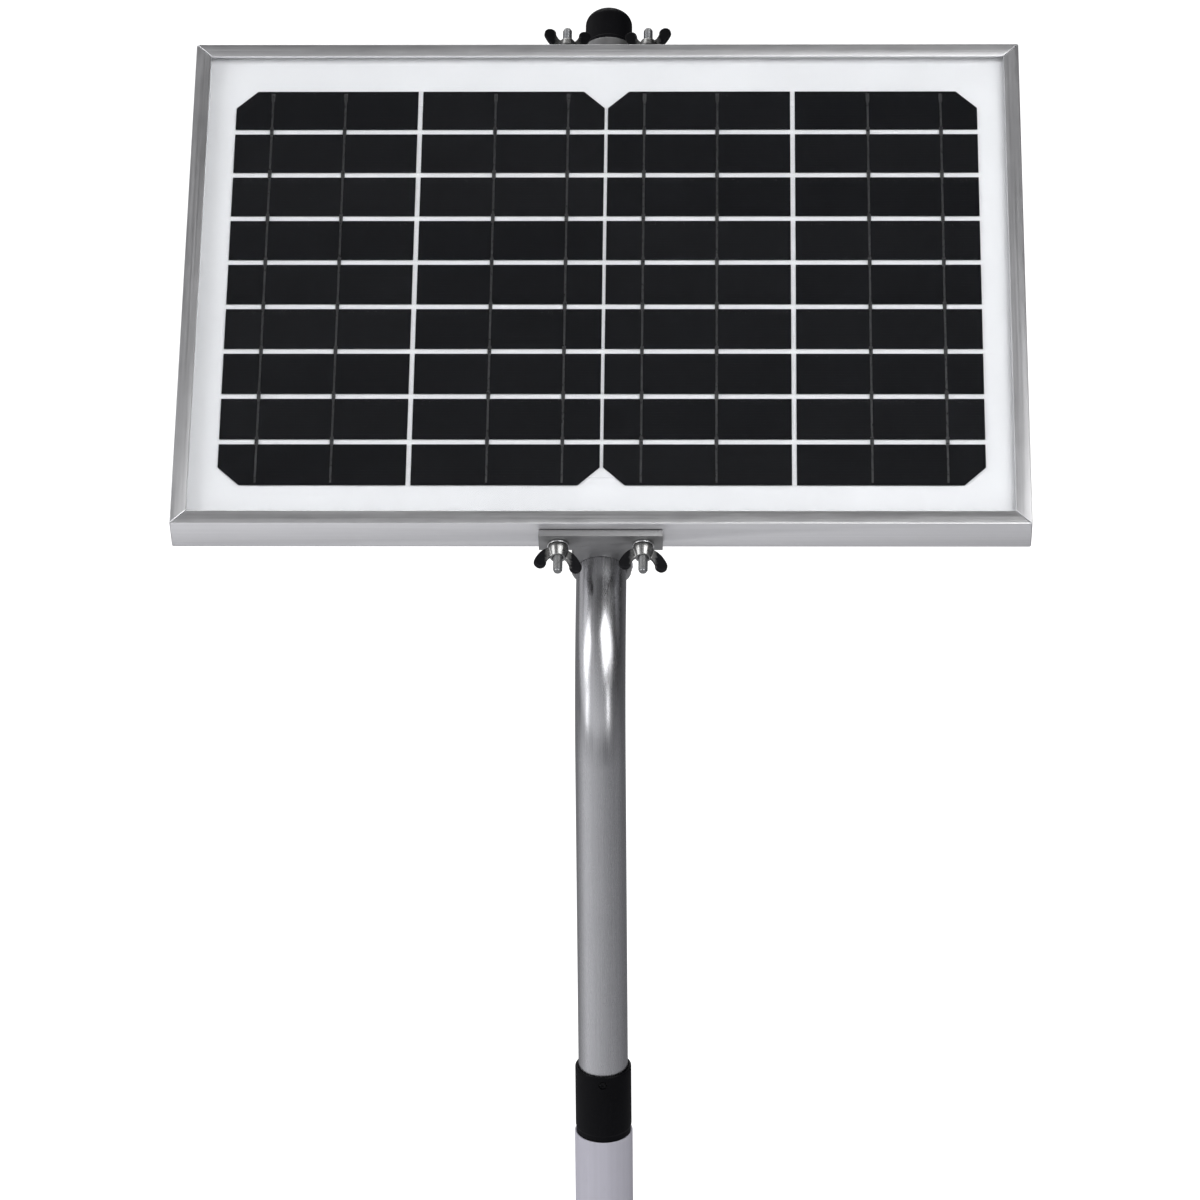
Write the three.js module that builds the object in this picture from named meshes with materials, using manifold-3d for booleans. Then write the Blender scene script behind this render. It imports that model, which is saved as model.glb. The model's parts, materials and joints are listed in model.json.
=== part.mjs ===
// A solar panel for an electric poultry fence, carried on a bent aluminium mast.
//
// The mast slides and turns in a plastic collar at the top of a ground post, and a spike holds the post in the soil.
// Two T-shaped brackets hang the panel on the sloping end of the mast: each is bolted to a frame rail with wing nuts,
// and carries a sleeve that turns round the mast.
// Units are millimetres and +Z is up. The origin is on the post's axis at ground level, and the panel faces -Y.

import * as THREE from "three";
import { mergeVertices } from "three/addons/utils/BufferGeometryUtils.js";
import Module from "manifold-3d";

const wasm = await Module();
wasm.setup();

// ---- Driving dimensions -------------------------------------------------------------------------------------

const PANEL = { width: 354, height: 251, depth: 17 };
const TILT = 30; // degrees between the panel and the ground
const GAP = 0.3; // between pieces that touch
const ROUND = 28; // sides of a large round piece

const MAST = { radius: 10.4, wall: 1.2, clearance: 0.2, bendRadius: 60, bendSteps: 9, upright: 144, inserted: 160 };
const COLLAR = { radius: 11.8, height: 31, spigotRadius: 11.2, spigot: 45, screwDrop: 3.6 };
const POST = { radius: 12.2, wall: 0.8, top: 406 };
const TREAD = { width: 120, depth: 42, thickness: 5, corner: 10 };
const SPIKE = { radius: 7, length: 210, point: 34, plugRadius: 11.1, plug: 70 };

const RAIL = { wall: 1.2, lip: 6.5, shelf: 6.4, shelfThickness: 1, flange: 12 };
const GLASS = { front: 1.5, thickness: 3.2, inset: 2.6 };
const CELL = { width: 78, height: 20.6, thickness: 0.2, rowGap: 2.6, pairGap: 2, blockGap: 1.4, corner: 9 };
const CELL_ROWS = 9;
const CELL_BASE = 21.6; // from the panel's lower edge to the first row
const BACKSHEET = { front: 5.4, thickness: 0.6 };

const SLEEVE = { radius: 12.4, height: 14.6 };
const BRACKET = { width: 51, front: 4.4, back: 14.6, thickness: 3, neck: 11 }; // front and back are depths in the rail
const STUD = { radius: 2, spacing: 35, depth: 10.9, length: 16.6, headFlats: 6.4, head: 2.8 };
const WING_NUT = { hubRadius: 4.3, hubTop: 3.2, hub: 5.2, span: 15, tipHeight: 8.6, tipRadius: 2.6, blade: 1.9 };
const WASHER = { radius: 4.5, thickness: 0.8 };
const CAP = { radius: 10.5, height: 20.5, plug: 14 };

const BOX = { width: 64, height: 54, depth: 15, wall: 2, lid: 2, centreX: -62, centreY: 70 };
const GLAND = { radius: 5, flats: 12.6, bore: 2.6 };

// ---- Places that follow from them ---------------------------------------------------------------------------

const bend = THREE.MathUtils.degToRad(90 - TILT);
const collarTop = POST.top + GAP + COLLAR.height;
const bendStart = new THREE.Vector3(0, 0, collarTop + MAST.upright);
const bendEnd = new THREE.Vector3(
  0,
  MAST.bendRadius * (1 - Math.cos(bend)),
  bendStart.z + MAST.bendRadius * Math.sin(bend),
);
const panelStart = 25; // along the sloping mast, from the bend to the panel's lower edge
const bore = MAST.radius + MAST.clearance;
const rearFace = SLEEVE.radius + 0.4; // from the mast's axis to the back of the frame
const frontFace = rearFace + PANEL.depth;
const sleeveTop = PANEL.height / 2 + GAP + BRACKET.thickness + GAP + SLEEVE.height; // from the panel's centre
const capBase = panelStart + PANEL.height / 2 + sleeveTop + 0.7;
const mastTip = capBase - GAP;

// ---- Materials ----------------------------------------------------------------------------------------------

const finish = (color, roughness, metalness) => new THREE.MeshStandardMaterial({ color, roughness, metalness });
const anodised = finish(0xb4b6ba, 0.35, 1);
const tubeMetal = finish(0xa9abb0, 0.28, 1);
const postMetal = finish(0xb0aeb8, 0.5, 1);
const zinc = finish(0x8f8f8c, 0.3, 1);
const blackPlastic = finish(0x17171b, 0.5, 0);
const glassClear = finish(0xe8f0f4, 0.05, 0);
const cellBlue = finish(0x10121a, 0.3, 0);
const tinned = finish(0x8a8d92, 0.35, 1);
const whiteFilm = finish(0xeeeef4, 0.6, 0);
const sealant = finish(0xd8d8d8, 0.8, 0);
const brass = finish(0xb08d4a, 0.35, 1);
const spikeSteel = finish(0x77787a, 0.45, 1);
const rubber = finish(0x202022, 0.85, 0);

// ---- Helpers ------------------------------------------------------------------------------------------------

function mesh(name, geometry, material, parent) {
  const made = new THREE.Mesh(geometry, material);
  made.name = name;
  parent.add(made);
  return made;
}

function solid(geometry) {
  const bare = geometry.clone();
  for (const attribute of ["normal", "uv"]) bare.deleteAttribute(attribute);
  const merged = mergeVertices(bare, 1e-4);
  return new wasm.Manifold(
    new wasm.Mesh({
      numProp: 3,
      vertProperties: merged.attributes.position.array,
      triVerts: new Uint32Array(merged.index.array),
    }),
  );
}

function geometryOf(body) {
  const { numProp, numVert, vertProperties, triVerts } = body.getMesh();
  const position = new Float32Array(numVert * 3);
  for (let i = 0; i < numVert; i++) position.set(vertProperties.subarray(i * numProp, i * numProp + 3), i * 3);
  return new THREE.BufferGeometry()
    .setAttribute("position", new THREE.BufferAttribute(position, 3))
    .setIndex(new THREE.BufferAttribute(triVerts, 1));
}

const join = (first, ...others) => geometryOf(others.reduce((sum, g) => sum.add(solid(g)), solid(first)));
const cut = (base, ...tools) => geometryOf(tools.reduce((left, g) => left.subtract(solid(g)), solid(base)));

// A box given by its lowest and highest corners.
function block([x0, y0, z0], [x1, y1, z1]) {
  return new THREE.BoxGeometry(x1 - x0, y1 - y0, z1 - z0).translate((x0 + x1) / 2, (y0 + y1) / 2, (z0 + z1) / 2);
}

// A turned piece about Z. The profile is a closed loop of [radius, z] points, listed with the solid on its left.
function turned(profile, sides = ROUND) {
  const loop = [...profile, profile[0]].map(([r, z]) => new THREE.Vector2(r, z));
  return new THREE.LatheGeometry(loop, sides).rotateX(Math.PI / 2);
}

const ring = (inner, outer, z0, z1, sides = ROUND) =>
  turned([[inner, z0], [outer, z0], [outer, z1], [inner, z1]], sides);

// A round bar along Z, or along Y when it is laid down.
const bar = (radius, z0, z1, sides = 16) =>
  new THREE.CylinderGeometry(radius, radius, z1 - z0, sides).rotateX(Math.PI / 2).translate(0, 0, (z0 + z1) / 2);
const barY = (radius, y0, y1, sides = 16) => bar(radius, y0, y1, sides).rotateX(-Math.PI / 2);

// A hexagonal bar along Z, with flats facing along Y.
const hexagon = (acrossFlats, z0, z1) => bar(acrossFlats / Math.sqrt(3), z0, z1, 6).rotateZ(Math.PI / 6);

function extruded(points, depth) {
  const shape = new THREE.Shape(points.map(([x, y]) => new THREE.Vector2(x, y)));
  return new THREE.ExtrudeGeometry(shape, { depth, bevelEnabled: false });
}

function roundedRectangle(width, height, radius) {
  const shape = new THREE.Shape();
  const x = width / 2 - radius;
  const y = height / 2 - radius;
  shape.absarc(x, y, radius, 0, Math.PI / 2);
  shape.absarc(-x, y, radius, Math.PI / 2, Math.PI);
  shape.absarc(-x, -y, radius, Math.PI, 1.5 * Math.PI);
  shape.absarc(x, -y, radius, 1.5 * Math.PI, 2 * Math.PI);
  return shape;
}

// ---- Ground post --------------------------------------------------------------------------------------------

const root = new THREE.Group();

function groundPost() {
  const postBase = TREAD.thickness + GAP;
  mesh("post_tube", ring(POST.radius - POST.wall, POST.radius, postBase, POST.top), postMetal, root);

  const tread = new THREE.ExtrudeGeometry(roundedRectangle(TREAD.width, TREAD.depth, TREAD.corner), {
    depth: TREAD.thickness,
    bevelEnabled: false,
    curveSegments: 5,
  });
  const spikeHole = bar(SPIKE.radius + GAP, -1, TREAD.thickness + 1, ROUND);
  mesh("foot_tread", cut(tread, spikeHole), spikeSteel, root);

  const { radius, length, point, plugRadius, plug } = SPIKE;
  const profile = [
    [0, -length],
    [radius, point - length],
    [radius, postBase],
    [plugRadius, postBase],
    [plugRadius, plug - 2],
    [plugRadius - 2, plug],
    [0, plug],
  ];
  const outline = profile.map(([r, z]) => new THREE.Vector2(r, z));
  mesh("ground_spike", new THREE.LatheGeometry(outline, 20).rotateX(Math.PI / 2), spikeSteel, root);
}

function collar() {
  const base = POST.top + GAP;
  const screwZ = collarTop - COLLAR.screwDrop;
  const bush = turned([
    [bore, base - COLLAR.spigot],
    [COLLAR.spigotRadius, base - COLLAR.spigot],
    [COLLAR.spigotRadius, base],
    [COLLAR.radius, base],
    [COLLAR.radius, collarTop - 1],
    [COLLAR.radius - 0.8, collarTop],
    [bore, collarTop],
  ]);
  const screwHole = barY(1.8, -20, 0).translate(0, 0, screwZ);
  mesh("mast_collar", cut(bush, screwHole), blackPlastic, root);
  mesh("collar_set_screw", barY(1.5, 0.3 - COLLAR.radius, -bore, 12).translate(0, 0, screwZ), zinc, root);
}

// ---- Mast ---------------------------------------------------------------------------------------------------

// The mast's centre line: upright, then a bend, then the slope. Its stations are one step for each straight and
// bendSteps for the bend, so that the straights cost no extra faces.
class MastLine extends THREE.Curve {
  constructor() {
    super();
    this.stations = MAST.bendSteps + 2;
    this.foot = new THREE.Vector3(0, 0, collarTop - MAST.inserted);
    this.tip = new THREE.Vector3(0, Math.cos(Math.PI / 2 - bend), Math.sin(Math.PI / 2 - bend))
      .multiplyScalar(mastTip)
      .add(bendEnd);
  }

  getPoint(t) {
    const station = t * this.stations;
    if (station <= 1) return this.foot.clone().lerp(bendStart, station);
    if (station >= this.stations - 1) return bendEnd.clone().lerp(this.tip, station - this.stations + 1);
    const angle = (bend * (station - 1)) / MAST.bendSteps;
    return new THREE.Vector3(
      0,
      MAST.bendRadius * (1 - Math.cos(angle)),
      bendStart.z + MAST.bendRadius * Math.sin(angle),
    );
  }

  // Stations follow the steps above, not the length along the line.
  getPointAt(t) {
    return this.getPoint(t);
  }

  getTangentAt(t) {
    return this.getTangent(t);
  }
}

function mast(top) {
  const section = new THREE.Shape().absarc(0, 0, MAST.radius, 0, 2 * Math.PI);
  section.holes.push(new THREE.Path().absarc(0, 0, MAST.radius - MAST.wall, 0, 2 * Math.PI));
  const line = new MastLine();
  const tube = new THREE.ExtrudeGeometry(section, {
    steps: line.stations,
    curveSegments: ROUND / 2,
    extrudePath: line,
    bevelEnabled: false,
  });
  mesh("mast_tube", tube, tubeMetal, root);

  const plugRadius = MAST.radius - MAST.wall - 0.2;
  const cap = new THREE.LatheGeometry(
    [
      [0, -CAP.plug],
      [plugRadius - 1, -CAP.plug],
      [plugRadius, 1 - CAP.plug],
      [plugRadius, 0],
      [CAP.radius, 0],
      [CAP.radius, CAP.height - 4.6],
      [CAP.radius - 0.5, CAP.height - 2.6],
      [CAP.radius - 1.9, CAP.height - 0.8],
      [CAP.radius - 4, CAP.height],
      [0, CAP.height],
    ].map(([r, z]) => new THREE.Vector2(r, z)),
    ROUND,
  ).rotateX(Math.PI / 2);
  mesh("mast_cap", cap.rotateX(-Math.PI / 2).translate(0, capBase, 0), blackPlastic, top);
}

// ---- Panel frame and laminate -------------------------------------------------------------------------------
// The panel group has its origin on the mast's sloping axis beside the panel's centre, X along the width, Y up the
// slope and Z out of the front face.

const halfWidth = PANEL.width / 2;
const halfHeight = PANEL.height / 2;
const depthAt = (depth) => frontFace - depth;

// One mitred rail, for the lower edge, turned to its own edge. p is measured inwards from the outer face and q
// backwards from the front face.
function rail(length, distance, turn, ...tools) {
  const { wall, lip, shelf, shelfThickness, flange } = RAIL;
  const back = PANEL.depth;
  const profile = [
    [0, 0],
    [lip, 0],
    [lip, wall],
    [wall, wall],
    [wall, shelf],
    [lip, shelf],
    [lip, shelf + shelfThickness],
    [wall, shelf + shelfThickness],
    [wall, back - wall],
    [flange, back - wall],
    [flange, back],
    [0, back],
  ];
  const geometry = extruded(profile, length);
  const at = geometry.attributes.position;
  for (let i = 0; i < at.count; i++) {
    const [p, q, t] = [at.getX(i), at.getY(i), at.getZ(i)];
    const mitred = t < length / 2 ? p + GAP / 2 : length - p - GAP / 2;
    at.setXYZ(i, length / 2 - mitred, p - distance, depthAt(q));
  }
  const drilled = tools.length ? cut(geometry, ...tools) : geometry;
  return drilled.rotateZ(turn);
}

function frame(panel) {
  const sides = [-1, 1];
  const studHoles = sides.map((side) =>
    barY(STUD.radius + 0.4, -halfHeight - 1, -halfHeight + 3, 12)
      .translate((side * STUD.spacing) / 2, 0, depthAt(STUD.depth)),
  );
  const flangeHoles = sides.map((side) =>
    bar(2.75, depthAt(PANEL.depth) - 1, depthAt(PANEL.depth) + 3, 12).translate(side * 120, 7 - halfHeight, 0),
  );
  const sideHoles = sides.map((side) =>
    bar(2.75, depthAt(PANEL.depth) - 1, depthAt(PANEL.depth) + 3, 12).translate(side * 70, 7 - halfWidth, 0),
  );
  mesh("rail_bottom", rail(PANEL.width, halfHeight, 0, ...studHoles, ...flangeHoles), anodised, panel);
  mesh("rail_right", rail(PANEL.height, halfWidth, Math.PI / 2, ...sideHoles), anodised, panel);
  mesh("rail_top", rail(PANEL.width, halfHeight, Math.PI, ...studHoles, ...flangeHoles), anodised, panel);
  mesh("rail_left", rail(PANEL.height, halfWidth, -Math.PI / 2, ...sideHoles), anodised, panel);

  const leg = 20;
  const inset = RAIL.wall + GAP;
  const keyOutline = [[0, 0], [leg, 0], [leg, 2], [2, 2], [2, leg], [0, leg]];
  const corners = [["bottom_left", -1, -1, 0], ["bottom_right", 1, -1, 1], ["top_right", 1, 1, 2], ["top_left", -1, 1, 3]];
  for (const [place, x, y, quarter] of corners) {
    const key = extruded(keyOutline, 7).rotateZ((quarter * Math.PI) / 2);
    key.translate(x * (halfWidth - inset), y * (halfHeight - inset), depthAt(15.3));
    mesh(`corner_key_${place}`, key, zinc, panel);
  }
}

// A half cell with the two corners of its wafer cut off where the string ends.
function cellOutline(left, bottom, cutLeft, atBottom, atTop) {
  const { width, height, corner } = CELL;
  const outer = cutLeft ? left : left + width;
  const inner = cutLeft ? left + width : left;
  const step = cutLeft ? corner : -corner;
  const top = bottom + height;
  const points = [[inner, bottom]];
  if (atBottom) points.push([outer + step, bottom], [outer, bottom + corner]);
  else points.push([outer, bottom]);
  if (atTop) points.push([outer, top - corner], [outer + step, top]);
  else points.push([outer, top]);
  points.push([inner, top]);
  return points;
}

function laminate(panel) {
  const { inset } = GLASS;
  const edge = (depth, thickness) =>
    block(
      [inset - halfWidth, inset - halfHeight, depthAt(depth + thickness)],
      [halfWidth - inset, halfHeight - inset, depthAt(depth)],
    );
  mesh("glass_cover", edge(GLASS.front, GLASS.thickness), glassClear, panel);
  mesh("backsheet", edge(BACKSHEET.front, BACKSHEET.thickness), whiteFilm, panel);

  const sealGap = RAIL.wall + GAP;
  const sealFront = depthAt(RAIL.wall + GAP);
  const sealBack = depthAt(RAIL.shelf - GAP);
  const outer = block(
    [sealGap - halfWidth, sealGap - halfHeight, sealBack],
    [halfWidth - sealGap, halfHeight - sealGap, sealFront],
  );
  const inner = block(
    [inset - GAP - halfWidth, inset - GAP - halfHeight, sealBack - 1],
    [halfWidth - inset + GAP, halfHeight - inset + GAP, sealFront + 1],
  );
  mesh("laminate_seal", cut(outer, inner), sealant, panel);

  // Four strings of half cells, joined by ribbons. A wafer's five ribbons lie 31.2 mm apart, and its middle one is
  // lost where it is cut in two.
  const { width, height, thickness, rowGap, pairGap, blockGap } = CELL;
  const cellBack = depthAt(5);
  const ribbonWidth = 1.6;
  const lefts = [
    -blockGap / 2 - 2 * width - pairGap,
    -blockGap / 2 - width,
    blockGap / 2,
    blockGap / 2 + width + pairGap,
  ];
  const stringHeight = CELL_ROWS * height + (CELL_ROWS - 1) * rowGap;
  const base = CELL_BASE - halfHeight;
  lefts.forEach((left, column) => {
    const cutLeft = column % 2 === 0;
    const cells = [];
    for (let row = 0; row < CELL_ROWS; row++) {
      const bottom = base + row * (height + rowGap);
      const outline = cellOutline(left, bottom, cutLeft, row === 0, row === CELL_ROWS - 1);
      cells.push(extruded(cutLeft ? outline : outline.toReversed(), thickness).translate(0, 0, cellBack));
    }
    const ribbons = (cutLeft ? [15.6, 46.8] : [31.2, 62.4]).map((offset) =>
      block(
        [left + offset - ribbonWidth / 2, base + 2, cellBack + 0.02],
        [left + offset + ribbonWidth / 2, base + stringHeight - 2, cellBack + thickness + 0.06],
      ),
    );
    mesh(`cell_string_${column + 1}`, join(...cells, ...ribbons), cellBlue, panel);
  });

  // The ribbons that join the strings, behind the cells: two at the top and one at the bottom.
  const busBack = depthAt(5.3);
  const stringTop = base + stringHeight;
  const spans = [["top_left", 0, 1, stringTop - 8], ["bottom", 1, 2, base + 4], ["top_right", 2, 3, stringTop - 8]];
  for (const [place, from, to, y] of spans) {
    const bus = block([lefts[from] + 30, y, busBack], [lefts[to] + 50, y + 4, busBack + 0.2]);
    mesh(`bus_ribbon_${place}`, bus, tinned, panel);
  }
}

// ---- Junction box on the back of the panel ------------------------------------------------------------------

function junctionBox(panel) {
  const { width, height, depth, wall, lid, centreX, centreY } = BOX;
  const box = new THREE.Group();
  box.position.set(centreX, centreY, depthAt(BACKSHEET.front + BACKSHEET.thickness) - GAP);
  panel.add(box);
  const glandDepth = -(depth + wall) / 2;
  const plate = (w, h, z0, z1, radius = 4) =>
    new THREE.ExtrudeGeometry(roundedRectangle(w, h, radius), {
      depth: z1 - z0,
      bevelEnabled: false,
      curveSegments: 4,
    }).translate(0, 0, z0);

  const outer = plate(width, height, -depth, 0);
  const hollow = plate(width - 2 * wall, height - 2 * wall, -depth - 1, -wall, 2.5);
  const wireSlot = block([-20, -9, -wall - 1], [20, -5, 1]);
  const glandHole = barY(GLAND.radius + GAP, -height / 2 - 1, -height / 2 + wall + 1).translate(0, 0, glandDepth);
  mesh("junction_box_base", cut(outer, hollow, wireSlot, glandHole), blackPlastic, box);

  const seal = cut(plate(width - 0.8, height - 0.8, -depth - 1.1, -depth - GAP, 3.6), plate(width - 3.2, height - 3.2, -depth - 2, 0, 2.4));
  mesh("junction_box_gasket", seal, rubber, box);
  const lidBack = -depth - 1.4 - lid;
  const lidPlate = plate(width, height, lidBack, -depth - 1.4);
  const rib = plate(width - 16, height - 16, lidBack - 0.8, lidBack + 0.5, 3);
  mesh("junction_box_lid", join(lidPlate, rib), blackPlastic, box);

  for (const [name, x] of [["terminal_positive", 16], ["terminal_negative", -16]]) {
    const tag = block([x - 5, -3, -wall - 1.5], [x + 5, 14, -wall - GAP]);
    const post = bar(2.5, -wall - 5, -wall - 1, 12).translate(x, 9, 0);
    mesh(name, join(tag, post), brass, box);
  }
  mesh("blocking_diode", barY(2.6, -4, 4, 16).rotateZ(Math.PI / 2).translate(0, 16, -wall - 3.2), rubber, box);

  // The lead's gland, pointing down the slope.
  const gland = new THREE.Group();
  gland.position.set(0, -height / 2, glandDepth);
  gland.rotation.x = Math.PI / 2;
  box.add(gland);
  const stem = turned([[GLAND.bore, -7], [GLAND.radius, -7], [GLAND.radius, 12], [GLAND.bore, 12]], 20);
  const stemHex = cut(hexagon(GLAND.flats, GAP, 4), bar(GLAND.radius - 1, -1, 5, 20));
  mesh("gland_body", join(stem, stemHex), blackPlastic, gland);
  const inner = GLAND.radius + GAP;
  const domeBore = GLAND.bore + 0.2;
  const dome = turned(
    [[inner, 4.4], [6.8, 4.4], [6.8, 13], [4.6, 17], [domeBore, 17], [domeBore, 15], [inner, 13]],
    20,
  );
  mesh("gland_dome_nut", dome, blackPlastic, gland);
  mesh("gland_lock_nut", cut(hexagon(GLAND.flats, -4.8, -wall - GAP), bar(inner, -6, 0, 20)), blackPlastic, gland);
  mesh("gland_seal", ring(domeBore - 0.4, 4, 12.3, 13.8, 20), rubber, gland);
}

// ---- Brackets that hang the panel on the mast ---------------------------------------------------------------

// A bracket plate lies on a rail's outer face. Its neck reaches back to the mast, with a round end about the bore.
function bracketPlate() {
  const { width, front, back, thickness, neck } = BRACKET;
  const wide = block([-width / 2, 0, depthAt(back)], [width / 2, thickness, depthAt(front)]);
  const bridge = block([-neck, 0, 0], [neck, thickness, depthAt(back) + 1]);
  const end = barY(SLEEVE.radius, 0, thickness, ROUND);
  const mastHole = barY(bore, -1, thickness + 1, ROUND);
  const studHoles = [-1, 1].map((side) =>
    barY(STUD.radius + 0.4, -1, thickness + 1, 12).translate((side * STUD.spacing) / 2, 0, depthAt(STUD.depth)),
  );
  return cut(join(wide, bridge, end), mastHole, ...studHoles);
}

// A wing nut about Z, seated at z = 0, with its blades along X.
function wingNut() {
  const { hubRadius, hubTop, hub, span, tipHeight, tipRadius, blade } = WING_NUT;
  const body = new THREE.LatheGeometry(
    [[0, 0], [hubRadius, 0], [hubRadius, 1.2], [hubTop, hub], [0, hub]].map(([r, z]) => new THREE.Vector2(r, z)),
    20,
  ).rotateX(Math.PI / 2);
  const outline = new THREE.Shape();
  outline.moveTo(2.2, 1.2);
  outline.lineTo(4.2, 1.2);
  outline.quadraticCurveTo(7.6, 2.4, span / 2 + tipRadius * 0.9, tipHeight - tipRadius * 0.45);
  outline.absarc(span / 2, tipHeight, tipRadius, -0.4, Math.PI + 0.2);
  outline.quadraticCurveTo(3.8, 5.2, 2.2, 4.8);
  const paddle = () =>
    new THREE.ExtrudeGeometry(outline, { depth: blade, bevelEnabled: false, curveSegments: 6 })
      .translate(0, 0, -blade / 2)
      .rotateX(Math.PI / 2);
  return cut(join(body, paddle(), paddle().rotateZ(Math.PI)), bar(STUD.radius + 0.2, -1, hub + 1, 16));
}

// Everything at one edge of the panel, built for the top edge. outward is 1 at the top and -1 at the bottom.
function bracket(panel, place, outward, nutAngles) {
  const face = outward * halfHeight;
  const onEdge = new THREE.Group();
  onEdge.position.y = face;
  panel.add(onEdge);

  const plateLow = outward > 0 ? GAP : -GAP - BRACKET.thickness;
  mesh(`bracket_plate_${place}`, bracketPlate().translate(0, plateLow, 0), anodised, onEdge);

  // The sleeve stands on the upper side of its plate at both edges.
  const sleeveBase = plateLow + BRACKET.thickness + GAP;
  const sleeveHole = bar(2.3, -20, 0, 12).translate(0, sleeveBase + SLEEVE.height / 2, 0);
  const sleeve = ring(bore, SLEEVE.radius, 0, SLEEVE.height).rotateX(-Math.PI / 2).translate(0, sleeveBase, 0);
  mesh(`mast_sleeve_${place}`, cut(sleeve, sleeveHole), anodised, onEdge);
  const screw = bar(2, -SLEEVE.radius - 1, -bore, 12).translate(0, sleeveBase + SLEEVE.height / 2, 0);
  mesh(`sleeve_set_screw_${place}`, screw, zinc, onEdge);

  [["left", -1], ["right", 1]].forEach(([side, sign], i) => {
    const stud = new THREE.Group();
    stud.position.set((sign * STUD.spacing) / 2, 0, depthAt(STUD.depth));
    stud.rotation.x = (-outward * Math.PI) / 2; // its Z points away from the panel
    onEdge.add(stud);
    const inside = RAIL.wall + GAP;
    const head = hexagon(STUD.headFlats, -inside - STUD.head, -inside);
    const shank = bar(STUD.radius, -inside - 0.5, STUD.length - 0.8);
    const tip = new THREE.CylinderGeometry(STUD.radius - 0.6, STUD.radius, 0.8, 16)
      .rotateX(Math.PI / 2)
      .translate(0, 0, STUD.length - 0.4);
    mesh(`stud_bolt_${place}_${side}`, join(head, shank, tip), zinc, stud);
    const washerBase = GAP + BRACKET.thickness + GAP;
    const washer = ring(STUD.radius + GAP, WASHER.radius, washerBase, washerBase + WASHER.thickness, 20);
    mesh(`washer_${place}_${side}`, washer, zinc, stud);
    const nut = wingNut().rotateZ(THREE.MathUtils.degToRad(nutAngles[i]));
    mesh(`wing_nut_${place}_${side}`, nut.translate(0, 0, washerBase + WASHER.thickness + GAP), zinc, stud);
  });
}

// ---- Assembly -----------------------------------------------------------------------------------------------

groundPost();
collar();

// The slope's frame: its origin where the bend ends, Y up the slope and Z out of the panel.
const slope = new THREE.Group();
slope.position.copy(bendEnd);
slope.rotation.x = THREE.MathUtils.degToRad(TILT);
root.add(slope);
mast(slope);

const panel = new THREE.Group();
panel.position.y = panelStart + halfHeight;
slope.add(panel);
frame(panel);
laminate(panel);
junctionBox(panel);
bracket(panel, "top", 1, [8, -11]);
bracket(panel, "bottom", -1, [-15, -8]);

export default root;
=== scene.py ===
"""A solar panel for an electric fence, on a bent aluminium mast in a spiked ground post.

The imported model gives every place. Pieces are built in millimetres in a local frame and set down in metres.
"""

import json
import math

import bmesh
import bpy
from mathutils import Matrix, Vector


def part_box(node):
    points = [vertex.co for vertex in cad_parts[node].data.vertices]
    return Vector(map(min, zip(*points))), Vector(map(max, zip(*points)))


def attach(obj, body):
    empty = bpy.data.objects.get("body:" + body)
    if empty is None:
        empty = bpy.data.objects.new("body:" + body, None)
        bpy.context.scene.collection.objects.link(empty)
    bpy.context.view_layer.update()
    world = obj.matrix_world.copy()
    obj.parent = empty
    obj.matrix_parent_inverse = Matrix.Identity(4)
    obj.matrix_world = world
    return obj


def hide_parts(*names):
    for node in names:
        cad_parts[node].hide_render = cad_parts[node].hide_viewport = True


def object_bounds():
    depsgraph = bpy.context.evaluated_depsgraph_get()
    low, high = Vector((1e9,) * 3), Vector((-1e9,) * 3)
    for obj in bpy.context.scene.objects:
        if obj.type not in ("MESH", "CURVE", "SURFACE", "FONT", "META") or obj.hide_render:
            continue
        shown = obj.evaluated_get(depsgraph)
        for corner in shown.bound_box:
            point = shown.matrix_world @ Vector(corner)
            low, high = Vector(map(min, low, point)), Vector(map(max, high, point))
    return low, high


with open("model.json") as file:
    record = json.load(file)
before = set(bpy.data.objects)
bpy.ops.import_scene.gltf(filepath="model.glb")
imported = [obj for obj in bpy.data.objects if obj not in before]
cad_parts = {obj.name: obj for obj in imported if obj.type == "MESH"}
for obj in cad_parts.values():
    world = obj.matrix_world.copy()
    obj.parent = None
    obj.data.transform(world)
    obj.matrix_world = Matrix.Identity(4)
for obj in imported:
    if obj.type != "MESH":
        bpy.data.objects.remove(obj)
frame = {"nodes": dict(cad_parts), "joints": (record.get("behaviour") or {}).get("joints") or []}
CAD_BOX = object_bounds()

MM = 0.001
TAU = 2 * math.pi
NODES = frame["nodes"]
JOINTS = {joint["name"]: joint for joint in frame["joints"]}

# ---- Sizes of the design, in millimetres ----

GAP = 0.3  # left between neighbouring parts
TILT = math.radians(30)

PANEL_HEIGHT = 251.0
PANEL_DEPTH = 17.0
HALF_HEIGHT = PANEL_HEIGHT / 2
REAR_FACE = 12.8  # from the mast's axis to the back of the panel's frame
FRONT_FACE = REAR_FACE + PANEL_DEPTH

MAST_RADIUS = 10.4
MAST_WALL = 1.2
MAST_BORE = 10.6  # the radius of every bore that the mast goes through
BEND_RADIUS = 60.0
BEND_TO_CENTRE = 150.5  # along the slope, from the end of the bend to the panel's centre

COLLAR_RADIUS = 11.8
COLLAR_HEIGHT = 31.0
SPIGOT_RADIUS = 11.2
SPIGOT = 45.0  # the length of collar inside the post

POST_RADIUS = 12.2
POST_WALL = 0.8
POST_TOP = 406.0
TREAD = 5.0

SPIKE_RADIUS = 7.0
SPIKE_LENGTH = 210.0
SPIKE_POINT = 34.0
PLUG_RADIUS = 11.1
PLUG = 70.0

SLEEVE_RADIUS = 12.4
SLEEVE_HEIGHT = 14.6
PLATE = 3.0

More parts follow.
